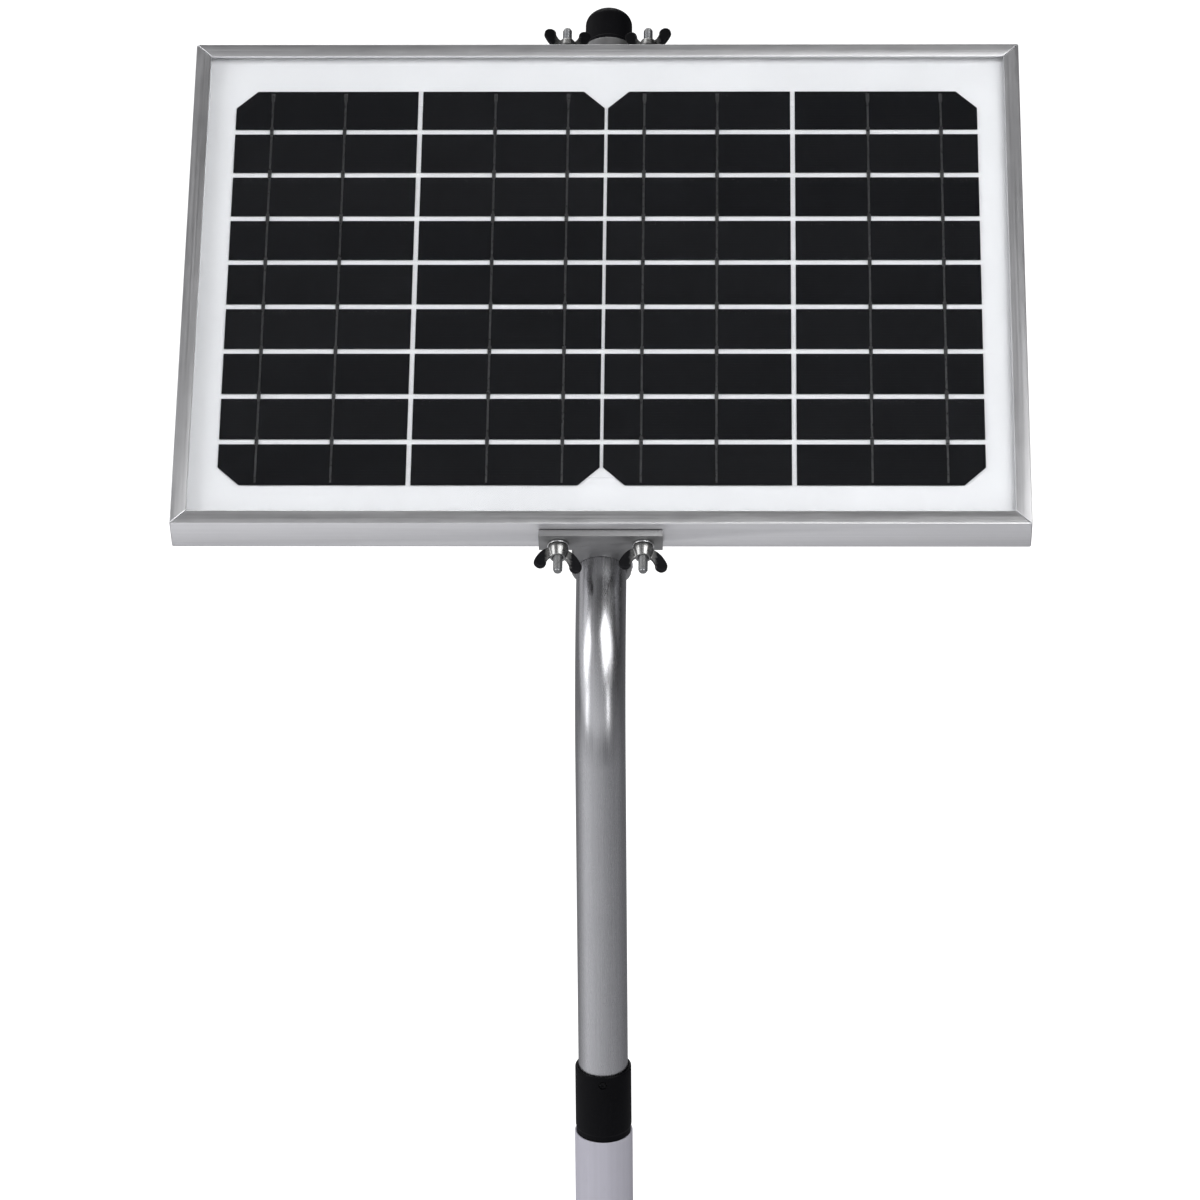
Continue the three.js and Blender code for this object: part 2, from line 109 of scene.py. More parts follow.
STUD_RADIUS = 2.0
STUD_SPACING = 35.0
STUD_DEPTH = 10.9  # behind the panel's front face
STUD_LENGTH = 16.6
RAIL_SKIN = 1.2

CAP_RADIUS = 10.5
CAP_HEIGHT = 20.5
CAP_PLUG = 14.0

CELL_WIDTH = 78.0
CELL_HEIGHT = 20.6
CELL_THICKNESS = 0.2
CELL_CORNER = 9.0
CELL_ROWS = 9
ROW_GAP = 2.6
PAIR_GAP = 2.0
BLOCK_GAP = 1.4
CELL_BASE = 21.6  # from the panel's lower edge to the lowest cells
CELL_DEPTH = 5.0  # from the panel's front face to the backs of the cells
ROW_PITCH = CELL_HEIGHT + ROW_GAP

BOX_X = -62
BOX_Y = 70
BOX_HEIGHT = 54.0
BOX_DEPTH = 15.0
BOX_WALL = 2.0
BOX_LID = 2.0
GASKET = 0.8
LAMINATE_DEPTH = 6.0  # from the panel's front face to the back of the backsheet
LID_SCREW_X = 28
LID_SCREW_Y = 23

collar_base = POST_TOP + GAP
collar_top = collar_base + COLLAR_HEIGHT
post_base = TREAD + GAP
sleeve_top = HALF_HEIGHT + GAP + PLATE + GAP + SLEEVE_HEIGHT
cap_base = sleeve_top + 0.7


def depth_at(depth):
    """Local height, above the mast's axis, of a depth behind the panel's front face."""
    return FRONT_FACE - depth


# ---- Local frames ----


def shift(x=0.0, y=0.0, z=0.0):
    return Matrix.Translation(Vector((x, y, z)) * MM)


def turn(degrees, axis):
    return Matrix.Rotation(math.radians(degrees), 4, axis)


WORLD = Matrix.Identity(4)
# X along the panel's width, Y up the slope, Z out of the front face, and the origin on the mast's axis.
SLOPE = Matrix.Translation(JOINTS["panel_swivel"]["pos_m"]) @ Matrix.Rotation(TILT, 4, "X")


def standing(x, y, z, outward=1):
    """A frame on the slope whose Z points up it, or down it where outward is -1."""
    return SLOPE @ shift(x, y, z) @ turn(-90 * outward, "X")


def towards(azimuth, elevation):
    """A direction out from the object. Azimuth 0 is in front of the panel and turns towards +X."""
    level = math.cos(elevation)
    return Vector((math.sin(azimuth) * level, -math.cos(azimuth) * level, math.sin(elevation)))


# ---- Meshes ----


def rounded(points, radius, closed=True, steps=4):
    """A profile with its corners rounded. A point's third number is its own radius."""
    made = []
    count = len(points)
    for i, point in enumerate(points):
        here = Vector(point[:2])
        own = point[2] if len(point) > 2 else radius
        if own <= 0 or (not closed and i in (0, count - 1)):
            made.append(tuple(here))
            continue
        back = Vector(points[i - 1][:2]) - here
        ahead = Vector(points[(i + 1) % count][:2]) - here
        reach = min(own, 0.45 * back.length, 0.45 * ahead.length)
        start = here + back.normalized() * reach
        end = here + ahead.normalized() * reach
        for step in range(steps + 1):
            t = step / steps
            made.append(tuple(start * (1 - t) ** 2 + here * 2 * t * (1 - t) + end * t**2))
    return made


def round_shape(angle):
    return 1.0


def hex_shape(angle):
    """A hexagon of unit half width, with flats facing along Y."""
    return 1 / math.cos(angle % (TAU / 6) - TAU / 12)


def fluted_shape(angle):
    return 1 - 0.035 * max(0.0, math.cos(12 * angle)) ** 2


def skin(loops, closed=False):
    """A solid from loops of points, each joined to the next, and where closed the last to the first."""
    bm = bmesh.new()
    rings = [[bm.verts.new(point) for point in loop] for loop in loops]
    followers = rings[1:] + rings[:1] if closed else rings[1:]
    for low, high in zip(rings, followers):
        sides = max(len(low), len(high))
        for i in range(sides):
            j = (i + 1) % sides
            corners = [low[i % len(low)], low[j % len(low)], high[j % len(high)], high[i % len(high)]]
            corners = list(dict.fromkeys(corners))
            if len(corners) > 2:
                bm.faces.new(corners)
    if not closed:
        for ring in (rings[0], rings[-1]):
            if len(ring) > 1:
                bm.faces.new(ring)
    bmesh.ops.recalc_face_normals(bm, faces=bm.faces)
    return bm


def tower(rings, sides=64, closed=False):
    """A solid from rings about Z. A ring is (radius, z) or (radius, z, shape), and radius 0 is a point."""
    loops = []
    for radius, z, *shape in rings:
        outline = shape[0] if shape else round_shape
        if radius == 0:
            loops.append([(0, 0, z)])
            continue
        loop = []
        for i in range(sides):
            angle = TAU * i / sides
            reach = radius * outline(angle)
            loop.append((reach * math.cos(angle), reach * math.sin(angle), z))
        loops.append(loop)
    return skin(loops, closed)


def tube_rings(inner, outer, low, high, lip=0.3):
    return rounded([(inner, low), (outer, low), (outer, high), (inner, high)], lip)


def plates(outlines, low, high):
    """Flat plates from outlines in the XY plane, in one mesh."""
    bm = bmesh.new()
    for outline in outlines:
        bottom = [bm.verts.new((x, y, low)) for x, y in outline]
        top = [bm.verts.new((x, y, high)) for x, y in outline]
        bm.faces.new(bottom)
        bm.faces.new(top)
        for i in range(len(outline)):
            j = (i + 1) % len(outline)
            bm.faces.new((bottom[i], bottom[j], top[j], top[i]))
    bmesh.ops.recalc_face_normals(bm, faces=bm.faces)
    return bm


def cross_hole(radius, height, degrees):
    """A cutter for a hole through one wall of a tube about Z. It points to -Y at 90 degrees and +Y at -90."""
    near = 8  # inside the tube's bore
    far = 16  # beyond its outer wall
    bar = tower([(radius, near), (radius, far)], 40)
    bar.transform(turn(degrees, "X"))
    bmesh.ops.translate(bar, vec=(0, 0, height), verts=bar.verts)
    return bar


def merge(*parts):
    """Several bmeshes as one, in their common local frame."""
    bm = bmesh.new()
    for part in parts:
        mesh = bpy.data.meshes.new("part")
        part.to_mesh(mesh)
        part.free()
        bm.from_mesh(mesh)
        bpy.data.meshes.remove(mesh)
    return bm


def soften(bm, width, segments=2, sharp=30):
    """Bevels every edge that turns by more than sharp degrees. Width is in the mesh's own units."""
    limit = math.radians(sharp)
    edges = [e for e in bm.edges if len(e.link_faces) == 2 and e.calc_face_angle() > limit]
    bmesh.ops.bevel(
        bm, geom=edges, offset=width, segments=segments, profile=0.5, affect="EDGES", clamp_overlap=True
    )
    return bm


def from_node(name):
    """A CAD node's solid, with its flat faces whole again, in metres and in the model's frame."""
    bm = bmesh.new()
    bm.from_mesh(NODES[name].data)
    bmesh.ops.remove_doubles(bm, verts=bm.verts, dist=2e-6)
    bmesh.ops.dissolve_limit(
        bm, angle_limit=math.radians(0.5), verts=bm.verts, edges=bm.edges, use_dissolve_boundaries=False
    )
    return bm


def set_down(bm, axes):
    """Takes a bmesh from millimetres in its own axes to metres in the model's frame."""
    bmesh.ops.scale(bm, vec=(MM,) * 3, verts=bm.verts)
    bm.transform(axes)


def linked(name, bm):
    """A new object in the scene, made from a bmesh that is then freed."""
    mesh = bpy.data.meshes.new(name)
    bm.to_mesh(mesh)
    bm.free()
    obj = bpy.data.objects.new(name, mesh)
    bpy.context.scene.collection.objects.link(obj)
    return obj


def applied(obj):
    """Applies the object's modifiers to its own mesh."""
    graph = bpy.context.evaluated_depsgraph_get()
    mesh = bpy.data.meshes.new_from_object(obj.evaluated_get(graph))
    obj.modifiers.clear()
    old = obj.data
    obj.data = mesh
    bpy.data.meshes.remove(old)


def cut_away(obj, cutter):
    """Takes the cutter's solid out of the object."""
    tool = linked("cutter", cutter)
    cut = obj.modifiers.new("cut", "BOOLEAN")
    cut.object = tool
    cut.operation = "DIFFERENCE"
    cut.solver = "EXACT"
    applied(obj)
    tool_mesh = tool.data
    bpy.data.objects.remove(tool)
    bpy.data.meshes.remove(tool_mesh)


def dress(mesh, axes, material, unroll=None):
    """Shades a mesh smooth, gives it its one material and stores its grain.

    Grain is each point's place in the piece's own axes, in metres, with Z along the length of the stock.
    """
    inverse = axes.inverted()
    grain = []
    for vertex in mesh.vertices:
        grain.extend(unroll(vertex.co) if unroll else inverse @ vertex.co)
    mesh.attributes.new("grain", "FLOAT_VECTOR", "POINT").data.foreach_set("vector", grain)
    mesh.shade_smooth()
    mesh.materials.clear()
    mesh.materials.append(material)


def piece(name, bm, axes, material, body, covers=(), sharp=32, metres=False, unroll=None, cutter=None):
    """Makes an object from a bmesh, puts it in its place and on its body, and dresses it."""
    if not metres:
        set_down(bm, axes)
    obj = linked(name, bm)
    if cutter:
        set_down(cutter, axes)
        cut_away(obj, cutter)
    obj.data.name = name
    dress(obj.data, axes, material, unroll)
    obj.data.set_sharp_from_angle(angle=math.radians(sharp))
    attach(obj, body)
    if covers:
        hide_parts(*covers)
    return obj


# ---- Materials ----


class Recipe:
    """The node tree of a material or a world, with short ways to add to it."""

    def __init__(self, owner):
        owner.use_nodes = True
        self.owner = owner
        self.tree = owner.node_tree
        self.tree.nodes.clear()

    def add(self, kind, inputs=None, **settings):
        made = self.tree.nodes.new(kind)
        for key, value in settings.items():
            setattr(made, key, value)
        for key, value in (inputs or {}).items():
            if isinstance(value, bpy.types.NodeSocket):
                self.tree.links.new(value, made.inputs[key])
            else:
                made.inputs[key].default_value = value
        return made

    def place(self, stretch=(1, 1, 1)):
        """Grain coordinates, scaled along each axis."""
        grain = self.add("ShaderNodeAttribute", attribute_name="grain").outputs["Vector"]
        return self.add("ShaderNodeMapping", {"Vector": grain, "Scale": stretch}).outputs["Vector"]

    def here(self):
        """Object coordinates, for the CAD nodes and the floor, which store no grain."""
        return self.add("ShaderNodeTexCoord").outputs["Object"]

    def noise(self, vector, scale, detail=3.0, roughness=0.5):
        inputs = {"Vector": vector, "Scale": scale, "Detail": detail, "Roughness": roughness}
        return self.add("ShaderNodeTexNoise", inputs).outputs["Fac"]

    def spread(self, value, low, high, start=0.3, end=0.7):
        """The value taken from the range start to end onto the range low to high, and held within it."""
        inputs = {"Value": value, "From Min": start, "From Max": end, "To Min": low, "To Max": high}
        return self.add("ShaderNodeMapRange", inputs).outputs["Result"]

    def maths(self, operation, first, second):
        return self.add("ShaderNodeMath", {0: first, 1: second}, operation=operation).outputs[0]

    def sum(self, first, second):
        return self.maths("ADD", first, second)

    def blend(self, factor, first, second):
        """A mix of two colours. Each is a socket or a plain (red, green, blue)."""
        mix = self.add("ShaderNodeMix", data_type="RGBA")
        for index, value in ((0, factor), (6, first), (7, second)):
            if isinstance(value, bpy.types.NodeSocket):
                self.tree.links.new(value, mix.inputs[index])
            else:
                mix.inputs[index].default_value = (*value, 1) if isinstance(value, tuple) else value
        return mix.outputs[2]

    def bump(self, height, strength, distance, under=None):
        inputs = {"Height": height, "Strength": strength, "Distance": distance}
        if under is not None:
            inputs["Normal"] = under
        return self.add("ShaderNodeBump", inputs).outputs["Normal"]

    def shade(self, colour, roughness, metallic=0.0, normal=None, **more):
        inputs = {"Base Color": (*colour, 1) if isinstance(colour, tuple) else colour}
        inputs.update({"Roughness": roughness, "Metallic": metallic})
        if normal is not None:
            inputs["Normal"] = normal
        inputs.update({key.replace("_", " "): value for key, value in more.items()})
        return self.add("ShaderNodeBsdfPrincipled", inputs).outputs["BSDF"]

    def finish(self, surface, output="ShaderNodeOutputMaterial"):
        self.add(output, {"Surface": surface})
        return self.owner


def new_recipe(name):
    return Recipe(bpy.data.materials.new(name))


def toned(colour, factor):
    return tuple(min(1.0, c * factor) for c in colour)


def drawn_metal(name, colour, roughness, streak, length, fine, spread, bump, wear=0.0, metallic=1.0):
    """Drawn or extruded metal: streaks run along the stock, with faint cloudy stains and handling marks.

    Streak is how far the tone strays. Length stretches the streaks, and fine is their scale across the stock.
    """
    r = new_recipe(name)
    lines = r.noise(r.place((1, 1, length)), fine, 2.0)
    bands = r.noise(r.place((1, 1, length / 3)), fine / 7, 2.0)
    cloud = r.noise(r.place(), 28.0, 4.0)
    marks = r.noise(r.place((1, 1, 0.25)), 320.0, 5.0, 0.7)
    tone = r.sum(r.sum(lines, bands), r.maths("MULTIPLY", cloud, 0.6))
    shade = r.spread(tone, 0.0, 1.0, 0.9, 1.7)
    base = r.blend(shade, toned(colour, 1 - streak), toned(colour, 1 + streak))
    if wear:
        base = r.blend(r.spread(marks, 0.0, wear, 0.55, 0.75), base, toned(colour, 0.55))
    rough = r.spread(lines, roughness - spread / 2, roughness + spread / 2)
    rough = r.sum(rough, r.spread(marks, -0.02, 0.05))
    normal = r.bump(lines, bump, 0.00002, r.bump(cloud, bump / 2, 0.0002))
    return r.finish(r.shade(base, rough, metallic, normal))


def plated_metal(name, colour, tint, roughness):
    """Zinc-plated steel: a fine crystalline grain, a faint passivation tint and small dark specks."""
    r = new_recipe(name)
    spot = r.place()
    haze = r.noise(spot, 180.0, 3.0)
    speck = r.noise(spot, 2600.0, 2.0)
    base = r.blend(r.spread(haze, 0.0, 1.0), colour, tint)
    base = r.blend(r.spread(speck, 0.0, 0.4, 0.62, 0.8), base, toned(colour, 0.35))
    rough = r.spread(r.noise(spot, 900.0, 4.0), roughness - 0.07, roughness + 0.1)
    return r.finish(r.shade(base, rough, 1.0, r.bump(speck, 0.3, 0.00002)))


def wing_metal(name):
    """A cast wing nut: a bright worn hub, with black oxide left on the wings."""
    r = new_recipe(name)
    hub_edge = 0.0038  # metres from the nut's axis
    wing_start = 0.0058
    spot = r.place()
    flat = r.add("ShaderNodeVectorMath", {0: spot, 1: (1, 1, 0)}, operation="MULTIPLY").outputs["Vector"]
    reach = r.add("ShaderNodeVectorMath", {0: flat}, operation="LENGTH").outputs["Value"]
    worn = r.noise(spot, 700.0, 4.0)
    edge = r.sum(reach, r.spread(worn, -0.0006, 0.0006))
    wing = r.spread(edge, 0.0, 1.0, hub_edge, wing_start)
    base = r.blend(wing, (0.32, 0.32, 0.315), (0.018, 0.018, 0.02))
    rough = r.sum(r.spread(wing, 0.28, 0.46, 0.0, 1.0), r.spread(worn, -0.05, 0.05))
    return r.finish(r.shade(base, rough, 1.0, r.bump(worn, 0.35, 0.00004)))


def galvanised(name):
    """Hot-dip zinc: flat spangles of different greys, with a dull bloom over them."""
    r = new_recipe(name)
    spot = r.place()
    spangle = r.add("ShaderNodeTexVoronoi", {"Vector": spot, "Scale": 210.0}).outputs["Color"]
    grey = r.add("ShaderNodeSeparateColor", {"Color": spangle}).outputs["Red"]
    bloom = r.noise(spot, 35.0, 5.0, 0.6)
    base = r.blend(grey, (0.34, 0.35, 0.36), (0.58, 0.59, 0.6))
    base = r.blend(r.spread(bloom, 0.0, 0.6), base, (0.42, 0.43, 0.44))
    rough = r.sum(r.spread(grey, 0.3, 0.5, 0.0, 1.0), r.spread(bloom, 0.0, 0.15))
    normal = r.bump(bloom, 0.3, 0.0006, r.bump(grey, 0.15, 0.00005))
    return r.finish(r.shade(base, rough, 1.0, normal))


def moulded_plastic(name, colour, roughness, texture=2600.0, bump=0.35, stored=True):
    """Moulded plastic: a spark-eroded texture, slow changes of gloss, and dust in the low places.

    Stored says that the mesh has grain coordinates, which a CAD node has not.
    """
    r = new_recipe(name)
    spot = r.place() if stored else r.here()
    grain = r.noise(spot, texture, 2.0)
    flow = r.noise(spot, 45.0, 3.0)
    base = r.blend(r.spread(flow, 0.0, 1.0), toned(colour, 0.8), toned(colour, 1.3))
    base = r.blend(r.spread(grain, 0.0, 0.02, 0.55, 0.8), base, (0.3, 0.3, 0.31))
    rough = r.sum(r.spread(flow, roughness - 0.05, roughness + 0.07), r.spread(grain, -0.04, 0.04))
    return r.finish(r.shade(base, rough, 0.0, r.bump(grain, bump, 0.00003), Specular_IOR_Level=0.08))


def soft_film(name, colour):
    """Polymer film, laminated: a slight ripple with a fine matt tooth."""
    r = new_recipe(name)
    spot = r.here()
    wave = r.noise(spot, 22.0, 2.0)
    tooth = r.noise(spot, 3000.0, 2.0)
    base = r.blend(r.spread(wave, 0.0, 1.0), toned(colour, 0.97), toned(colour, 1.02))
    rough = r.spread(tooth, 0.44, 0.56)
    normal = r.bump(tooth, 0.15, 0.00002, r.bump(wave, 0.4, 0.0005))
    return r.finish(r.shade(base, rough, 0.0, normal))


def clear_glass(name):
    """Low-iron solar glass. Lamps' light passes straight through it."""
    r = new_recipe(name)
    dust = r.noise(r.here(), 900.0, 4.0, 0.7)
    rough = r.spread(dust, 0.0, 0.03, 0.5, 0.8)
    glass = r.shade((0.985, 0.995, 0.99), rough, Transmission_Weight=1.0, IOR=1.45)
    lamp_ray = r.add("ShaderNodeLightPath").outputs["Is Shadow Ray"]
    through = r.add("ShaderNodeBsdfTransparent", {"Color": (0.97, 0.985, 0.98, 1)}).outputs[0]
    return r.finish(r.add("ShaderNodeMixShader", {0: lamp_ray, 1: glass, 2: through}).outputs[0])


def silicon(name):
    """Coated silicon: near-black blue, each cell a little different, with hair-thin printed fingers."""
    r = new_recipe(name)
    finger_pitch = 0.0014
    finger_share = 0.07  # of the pitch
    spot = r.place()
    tone = r.add("ShaderNodeAttribute", attribute_name="tone").outputs["Fac"]
    cloud = r.noise(spot, 30.0, 3.0)
    base = r.blend(tone, (0.002, 0.0022, 0.0035), (0.0045, 0.0046, 0.006))
    base = r.blend(r.spread(cloud, 0.0, 0.5), base, (0.003, 0.0033, 0.005))
    up = r.add("ShaderNodeSeparateXYZ", {"Vector": spot}).outputs["Y"]
    phase = r.maths("FRACT", r.maths("MULTIPLY", up, 1 / finger_pitch), 0.0)
    finger = r.maths("LESS_THAN", phase, finger_share)
    base = r.blend(r.maths("MULTIPLY", finger, 0.08), base, (0.16, 0.165, 0.17))
    rough = r.spread(cloud, 0.32, 0.44)
    return r.finish(r.shade(base, rough, 0.0, r.bump(cloud, 0.1, 0.0001), Specular_IOR_Level=0.08))


def plain_metal(name, colour, roughness):
    """Turned or cast metal on a CAD node, with an even fine grain."""
    r = new_recipe(name)
    grain = r.noise(r.here(), 700.0, 3.0)
    base = r.blend(r.spread(grain, 0.0, 1.0), toned(colour, 0.85), toned(colour, 1.12))
    rough = r.spread(grain, roughness - 0.08, roughness + 0.1)
    return r.finish(r.shade(base, rough, 1.0, r.bump(grain, 0.2, 0.00003)))


def weld_metal(name):
    """A weld bead: cloudy heat tones and a fine rough skin."""
    r = new_recipe(name)
    spot = r.place()
    heat = r.noise(spot, 260.0, 3.0)
    base = r.blend(r.spread(heat, 0.0, 1.0), (0.5, 0.5, 0.51), (0.68, 0.68, 0.7))
    normal = r.bump(r.noise(spot, 1500.0), 0.3, 0.00005)
    return r.finish(r.shade(base, r.spread(heat, 0.34, 0.5), 1.0, normal))


TUBE = drawn_metal(
    "bright_tube", (0.52, 0.522, 0.54), 0.25, streak=0.06, length=0.008, fine=1500.0, spread=0.08, bump=0.2,
    wear=0.1,
)
POST = drawn_metal(
    "satin_tube", (0.6, 0.59, 0.66), 0.75, streak=0.06, length=0.01, fine=900.0, spread=0.1, bump=0.35,
    wear=0.1, metallic=0.2,
)
RAIL = drawn_metal(
    "anodised_rail", (0.88, 0.88, 0.895), 0.38, streak=0.05, length=0.01, fine=1100.0, spread=0.08, bump=0.2
)
# Bracket metal. Its dark grey base colour is painted shade: it stands in for the shadow and dark reflections
# on the plates and sleeves under the panel.
SHADED_PLATE_METAL = drawn_metal(
    "bracket_metal_painted_shade", (0.36, 0.36, 0.363), 0.5, streak=0.08, length=0.05, fine=900.0, spread=0.1, bump=0.35,
    wear=0.2,
)
ZINC = plated_metal("zinc_plate", (0.36, 0.36, 0.35), (0.3, 0.31, 0.33), 0.3)
CAST_ZINC = wing_metal("cast_wing_nut")
BRIGHT_ZINC = plated_metal("bright_washer", (0.86, 0.86, 0.85), (0.8, 0.81, 0.83), 0.2)
BLACK_OXIDE = plated_metal("black_oxide", (0.02, 0.02, 0.021), (0.012, 0.012, 0.014), 0.4)
GALVANISED = galvanised("hot_dip_zinc")
WELD = weld_metal("weld_bead")
PLASTIC = moulded_plastic("black_moulding", (0.003, 0.003, 0.004), 0.5)
BOX_PLASTIC = moulded_plastic("box_moulding", (0.013, 0.013, 0.015), 0.5, texture=1600.0, bump=0.5)
RUBBER = moulded_plastic("black_rubber", (0.02, 0.02, 0.021), 0.8, texture=1200.0, bump=0.4, stored=False)
SEAL = moulded_plastic("pale_sealant", (0.62, 0.62, 0.62), 0.65, texture=600.0, bump=0.4, stored=False)
FILM = soft_film("white_film", (0.88, 0.87, 0.905))
GLASS = clear_glass("solar_glass")
CELL = silicon("silicon_cell")
# Tinned copper ribbon. Its dark grey base colour is painted shade: the bright ribbon is given the tone it
# shows in shadow under the glass.
SHADED_RIBBON = drawn_metal(
    "tinned_ribbon_painted_shade", (0.15, 0.15, 0.155), 0.3, streak=0.12, length=0.02, fine=1600.0, spread=0.12, bump=0.3
)
WHITE_BUS = soft_film("white_bus", (0.84, 0.83, 0.865))
BRASS = plain_metal("turned_brass", (0.62, 0.45, 0.2), 0.3)
KEY_METAL = plain_metal("corner_key", (0.5, 0.5, 0.49), 0.4)


# ---- Small parts used in several places ----


def weld_bead(name, axes, radius, size, ripples, body):
    """A bead in the corner between an upright tube and a flat face, with the ripples of its passes."""
    sides = ripples * 6
    section = 6
    sunk = 0.25  # how far the bead reaches into the tube
    loops = []
    for i in range(sides):
        angle = TAU * i / sides
        swell = size * (1 + 0.16 * abs(math.sin(ripples * angle / 2)) - 0.08)
        corner = [(radius - sunk, -0.2), (radius + swell, -0.2)]
        for step in range(1, section):
            a = (math.pi / 2) * step / section
            bulge = swell * (1 - 0.18 * math.sin(2 * a))
            corner.append((radius - sunk + bulge * math.cos(a), bulge * math.sin(a)))
        corner.append((radius - sunk, swell))
        loops.append([(r * math.cos(angle), r * math.sin(angle), z) for r, z in corner])
    return piece(name, skin(loops, closed=True), axes, WELD, body, sharp=50)


def socket_screw(name, axes, radius, low, high, material, body, covers=()):
    """A screw along Z, with a hexagon socket in its upper end."""
    socket = radius * 0.5
    socket_floor = high - (high - low) * 0.6
    rings = [
        (0, low),
        (radius - 0.3, low),
        (radius, low + 0.3),
        (radius, high - 0.25),
        (radius - 0.2, high),
        (socket + 0.1, high, hex_shape),
        (socket, high - 0.08, hex_shape),
        (socket, socket_floor, hex_shape),
        (0, socket_floor - 0.15),
    ]
    return piece(name, tower(rings, 48), axes, material, body, covers)


# ---- Ground post and collar ----


def make_post():
    tube = tower(tube_rings(POST_RADIUS - POST_WALL, POST_RADIUS, post_base, POST_TOP), 96, closed=True)
    piece("post", tube, WORLD, POST, "post", ["post_tube"])


def make_tread():
    tread = soften(from_node("foot_tread"), 0.9 * MM, 3)
    piece("tread", tread, WORLD, GALVANISED, "post", ["foot_tread"], metres=True)


def make_spike():
    """The ground spike, with a slightly bulged point, and the plug on it that holds the post."""
    rings = [(0, -SPIKE_LENGTH), (0.7, 1.2 - SPIKE_LENGTH)]
    for t in (0.1, 0.3, 0.5, 0.7, 0.9):
        radius = SPIKE_RADIUS * (0.1 + 0.9 * t) + 0.35 * math.sin(math.pi * t)
        rings.append((radius, (SPIKE_POINT - 2) * t + 1.8 - SPIKE_LENGTH))
    rings += [
        (SPIKE_RADIUS, SPIKE_POINT + 2 - SPIKE_LENGTH),
        (SPIKE_RADIUS, post_base),
        (PLUG_RADIUS, post_base),
        (PLUG_RADIUS, PLUG - 2),
        (PLUG_RADIUS - 2, PLUG),
        (0, PLUG),
    ]
    piece("spike", tower(rings, 64), WORLD, GALVANISED, "post", ["ground_spike"])


def make_tread_weld():
    axes = shift(0, 0, TREAD)
    weld_bead("tread_weld", axes, POST_RADIUS, size=2.6, ripples=22, body="post")


def make_collar():
    """The collar on the post, its spigot inside it, and the set screw in front."""
    foot_radius = COLLAR_RADIUS - 0.35
    profile = rounded(
        [
            (MAST_BORE, collar_base - SPIGOT, 0.15),
            (SPIGOT_RADIUS, collar_base - SPIGOT, 0.2),
            (SPIGOT_RADIUS, collar_base, 0),
            (foot_radius, collar_base, 0.2),
            (foot_radius, collar_base + 2.2, 0.3),
            (COLLAR_RADIUS, collar_base + 2.9, 0.5),
            (COLLAR_RADIUS, collar_top, 0.8),
            (MAST_BORE, collar_top, 0.25),
        ],
        0.2,
    )
    screw_height = collar_top - 3.6
    collar = tower(profile, 96, closed=True)
    hole = cross_hole(1.8, screw_height, 90)
    piece("collar", collar, WORLD, PLASTIC, "collar", ["mast_collar"], cutter=hole)
    screw_axes = shift(0, 0, screw_height) @ turn(90, "X")
    socket_screw(
        "collar_screw", screw_axes, 1.5, MAST_BORE + 0.05, COLLAR_RADIUS - 0.3, BLACK_OXIDE, "collar",
        ["collar_set_screw"],
    )


# ---- Mast ----

SLOPE_UP = (SLOPE.to_3x3() @ Vector((0, 1, 0))).normalized()
bend_radius = BEND_RADIUS * MM
bend_angle = math.pi / 2 - TILT
bend_end = SLOPE.translation - SLOPE_UP * BEND_TO_CENTRE * MM
bend_start = Vector((0, 0, bend_end.z - bend_radius * math.sin(bend_angle)))
bend_centre = bend_start + Vector((0, bend_radius, 0))
mast_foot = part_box("mast_tube")[0].z
upright = bend_start.z - mast_foot
arc = bend_radius * bend_angle
slope_run = (BEND_TO_CENTRE + cap_base - GAP) * MM


def mast_station(distance):
    """The point and direction at a distance along the mast's axis, and how far round the bend it is."""
    if distance <= upright:
        return Vector((0, 0, mast_foot + distance)), Vector((0, 0, 1)), 0.0
    if distance < upright + arc:
        angle = (distance - upright) / bend_radius
        point = bend_centre + Vector((0, -math.cos(angle), math.sin(angle))) * bend_radius
        return point, Vector((0, math.sin(angle), math.cos(angle))), angle / bend_angle
    return bend_end + SLOPE_UP * (distance - upright - arc), SLOPE_UP, 0.0


def mast_stations():
    """Distances along the mast, close together round the bend and at the two ends."""
    length = upright + arc + slope_run
    lip = 0.4 * MM
    straight = [upright * i / 6 for i in range(1, 7)]
    bend = [upright + arc * i / 40 for i in range(1, 41)]
    slope = [upright + arc + slope_run * i / 8 for i in range(1, 8)]
    return [0.0, lip, *straight, *bend, *slope, length - lip, length]


def mast_mesh():
    """The bent tube, a little flattened round its bend, with its outer edge trimmed at both ends."""
    sides = 96
    stations = mast_stations()
    outer = []
    inner = []
    for distance in stations:
        point, along, bent = mast_station(distance)
        across = along.cross(Vector((1, 0, 0)))
        flat = 1 - 0.025 * math.sin(math.pi * bent)
        trim = 0.3 * MM if distance in (stations[0], stations[-1]) else 0.0
        for loops, radius in ((outer, MAST_RADIUS * MM - trim), (inner, (MAST_RADIUS - MAST_WALL) * MM)):
            loop = []
            for i in range(sides):
                a = TAU * i / sides
                level = Vector((1, 0, 0)) * radius * math.cos(a)
                loop.append(point + level + across * radius * flat * math.sin(a))
            loops.append(loop)
    return skin(outer + inner[::-1], closed=True)


def unroll_mast(point):
    """A point of the mast as if the tube had not been bent."""
    if point.z <= bend_start.z:
        return Vector((point.x, point.y, point.z))
    from_centre = point - bend_centre
    angle = math.atan2(from_centre.z, -from_centre.y)
    if angle < bend_angle:
        across = bend_radius - math.hypot(from_centre.y, from_centre.z)
        return Vector((point.x, across, bend_start.z + bend_radius * angle))
    local = SLOPE.inverted() @ point
    return Vector((point.x, -local.z, bend_start.z + arc + BEND_TO_CENTRE * MM + local.y))


def make_mast():
    piece(
        "mast", mast_mesh(), WORLD, TUBE, "mast", ["mast_tube"], sharp=40, metres=True,
        unroll=unroll_mast,
    )


